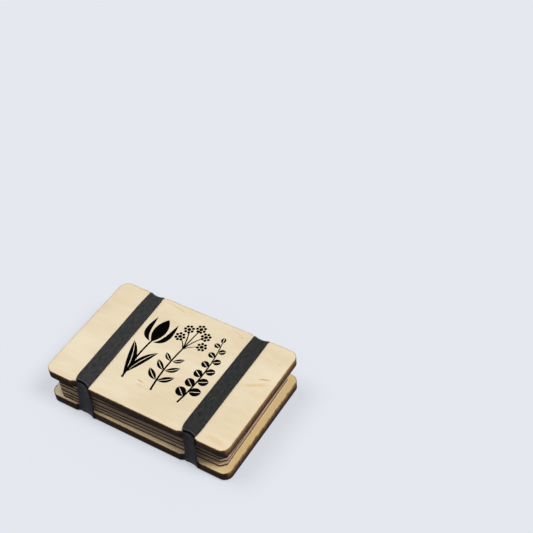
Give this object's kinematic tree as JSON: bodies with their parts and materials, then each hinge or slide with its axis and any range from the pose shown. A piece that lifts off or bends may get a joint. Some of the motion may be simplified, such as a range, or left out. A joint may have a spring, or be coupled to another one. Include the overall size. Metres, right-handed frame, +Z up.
{
  "type": "flower press",
  "caption": "Pocket flower press: two round-cornered plywood boards holding a stack of blotting sheets and corrugated cards, clamped by wide rubber bands that sit in notches.",
  "frame": {"origin": "middle of the underside, in the plane that the two bands' lower runs rest on", "axes": "+X along the boards' long side, +Y towards the back long side, +Z up through the stack"},
  "size_m": [0.141, 0.0916, 0.0338],
  "materials": {
    "birch_ply": "satin",
    "blotting_paper": "matte",
    "corrugated_card": "matte",
    "band_rubber": "matte"
  },
  "bodies": {
    "bottom_board": {"bottom_board": "birch_ply"},
    "blotting_sheet_1": {"blotting_sheet_1": "blotting_paper"},
    "corrugated_card_1": {"corrugated_card_1": "corrugated_card"},
    "blotting_sheet_2": {"blotting_sheet_2": "blotting_paper"},
    "blotting_sheet_3": {"blotting_sheet_3": "blotting_paper"},
    "blotting_sheet_4": {"blotting_sheet_4": "blotting_paper"},
    "corrugated_card_2": {"corrugated_card_2": "corrugated_card"},
    "blotting_sheet_5": {"blotting_sheet_5": "blotting_paper"},
    "blotting_sheet_6": {"blotting_sheet_6": "blotting_paper"},
    "corrugated_card_3": {"corrugated_card_3": "corrugated_card"},
    "blotting_sheet_7": {"blotting_sheet_7": "blotting_paper"},
    "blotting_sheet_8": {"blotting_sheet_8": "blotting_paper"},
    "blotting_sheet_9": {"blotting_sheet_9": "blotting_paper"},
    "blotting_sheet_10": {"blotting_sheet_10": "blotting_paper"},
    "corrugated_card_4": {"corrugated_card_4": "corrugated_card"},
    "blotting_sheet_11": {"blotting_sheet_11": "blotting_paper"},
    "blotting_sheet_12": {"blotting_sheet_12": "blotting_paper"},
    "corrugated_card_5": {"corrugated_card_5": "corrugated_card"},
    "blotting_sheet_13": {"blotting_sheet_13": "blotting_paper"},
    "top_board": {"top_board": "birch_ply"},
    "left_band": {"left_band_lower_half": "band_rubber"},
    "left_band_top": {"left_band_upper_half": "band_rubber"},
    "right_band": {"right_band_lower_half": "band_rubber"},
    "right_band_top": {"right_band_upper_half": "band_rubber"}
  },
  "joints": [
    {"name": "lid_lift", "type": "slide", "parent": "bottom_board", "child": "top_board", "axis": [0, 0, 1], "range_m": [0, 0.038], "stiffness_N_per_m": 200, "springref_m": -0.025},
    {"name": "blotting_sheet_1_lift", "type": "slide", "parent": "bottom_board", "child": "blotting_sheet_1", "axis": [0, 0, 1], "range_m": [0, 0.002]},
    {"name": "corrugated_card_1_lift", "type": "slide", "parent": "bottom_board", "child": "corrugated_card_1", "axis": [0, 0, 1], "range_m": [0, 0.004]},
    {"name": "blotting_sheet_2_lift", "type": "slide", "parent": "bottom_board", "child": "blotting_sheet_2", "axis": [0, 0, 1], "range_m": [0, 0.006]},
    {"name": "blotting_sheet_3_lift", "type": "slide", "parent": "bottom_board", "child": "blotting_sheet_3", "axis": [0, 0, 1], "range_m": [0, 0.008]},
    {"name": "blotting_sheet_4_lift", "type": "slide", "parent": "bottom_board", "child": "blotting_sheet_4", "axis": [0, 0, 1], "range_m": [0, 0.01]},
    {"name": "corrugated_card_2_lift", "type": "slide", "parent": "bottom_board", "child": "corrugated_card_2", "axis": [0, 0, 1], "range_m": [0, 0.012]},
    {"name": "blotting_sheet_5_lift", "type": "slide", "parent": "bottom_board", "child": "blotting_sheet_5", "axis": [0, 0, 1], "range_m": [0, 0.014]},
    {"name": "blotting_sheet_6_lift", "type": "slide", "parent": "bottom_board", "child": "blotting_sheet_6", "axis": [0, 0, 1], "range_m": [0, 0.016]},
    {"name": "corrugated_card_3_lift", "type": "slide", "parent": "bottom_board", "child": "corrugated_card_3", "axis": [0, 0, 1], "range_m": [0, 0.018]},
    {"name": "blotting_sheet_7_lift", "type": "slide", "parent": "bottom_board", "child": "blotting_sheet_7", "axis": [0, 0, 1], "range_m": [0, 0.02]},
    {"name": "blotting_sheet_8_lift", "type": "slide", "parent": "bottom_board", "child": "blotting_sheet_8", "axis": [0, 0, 1], "range_m": [0, 0.022]},
    {"name": "blotting_sheet_9_lift", "type": "slide", "parent": "bottom_board", "child": "blotting_sheet_9", "axis": [0, 0, 1], "range_m": [0, 0.024]},
    {"name": "blotting_sheet_10_lift", "type": "slide", "parent": "bottom_board", "child": "blotting_sheet_10", "axis": [0, 0, 1], "range_m": [0, 0.026]},
    {"name": "corrugated_card_4_lift", "type": "slide", "parent": "bottom_board", "child": "corrugated_card_4", "axis": [0, 0, 1], "range_m": [0, 0.028]},
    {"name": "blotting_sheet_11_lift", "type": "slide", "parent": "bottom_board", "child": "blotting_sheet_11", "axis": [0, 0, 1], "range_m": [0, 0.03]},
    {"name": "blotting_sheet_12_lift", "type": "slide", "parent": "bottom_board", "child": "blotting_sheet_12", "axis": [0, 0, 1], "range_m": [0, 0.032]},
    {"name": "corrugated_card_5_lift", "type": "slide", "parent": "bottom_board", "child": "corrugated_card_5", "axis": [0, 0, 1], "range_m": [0, 0.034]},
    {"name": "blotting_sheet_13_lift", "type": "slide", "parent": "bottom_board", "child": "blotting_sheet_13", "axis": [0, 0, 1], "range_m": [0, 0.036]},
    {"name": "left_band_off", "type": "slide", "parent": "bottom_board", "child": "left_band", "axis": [-1, 0, 0], "range_m": [0, 0.045]},
    {"name": "left_band_stretch", "type": "slide", "parent": "left_band", "child": "left_band_top", "axis": [0, 0, 1], "range_m": [0, 0.038]},
    {"name": "right_band_off", "type": "slide", "parent": "bottom_board", "child": "right_band", "axis": [1, 0, 0], "range_m": [0, 0.045]},
    {"name": "right_band_stretch", "type": "slide", "parent": "right_band", "child": "right_band_top", "axis": [0, 0, 1], "range_m": [0, 0.038]}
  ],
  "couplings": [
    {"joint": "blotting_sheet_1_lift", "follows": "lid_lift", "ratio": 0.052631},
    {"joint": "corrugated_card_1_lift", "follows": "lid_lift", "ratio": 0.10526},
    {"joint": "blotting_sheet_2_lift", "follows": "lid_lift", "ratio": 0.15789},
    {"joint": "blotting_sheet_3_lift", "follows": "lid_lift", "ratio": 0.21053},
    {"joint": "blotting_sheet_4_lift", "follows": "lid_lift", "ratio": 0.26316},
    {"joint": "corrugated_card_2_lift", "follows": "lid_lift", "ratio": 0.31579},
    {"joint": "blotting_sheet_5_lift", "follows": "lid_lift", "ratio": 0.36842},
    {"joint": "blotting_sheet_6_lift", "follows": "lid_lift", "ratio": 0.42105},
    {"joint": "corrugated_card_3_lift", "follows": "lid_lift", "ratio": 0.47368},
    {"joint": "blotting_sheet_7_lift", "follows": "lid_lift", "ratio": 0.52631},
    {"joint": "blotting_sheet_8_lift", "follows": "lid_lift", "ratio": 0.57895},
    {"joint": "blotting_sheet_9_lift", "follows": "lid_lift", "ratio": 0.63158},
    {"joint": "blotting_sheet_10_lift", "follows": "lid_lift", "ratio": 0.68421},
    {"joint": "corrugated_card_4_lift", "follows": "lid_lift", "ratio": 0.73684},
    {"joint": "blotting_sheet_11_lift", "follows": "lid_lift", "ratio": 0.78947},
    {"joint": "blotting_sheet_12_lift", "follows": "lid_lift", "ratio": 0.8421},
    {"joint": "corrugated_card_5_lift", "follows": "lid_lift", "ratio": 0.89474},
    {"joint": "blotting_sheet_13_lift", "follows": "lid_lift", "ratio": 0.94737},
    {"joint": "left_band_stretch", "follows": "lid_lift", "ratio": 1},
    {"joint": "right_band_stretch", "follows": "lid_lift", "ratio": 1}
  ]
}
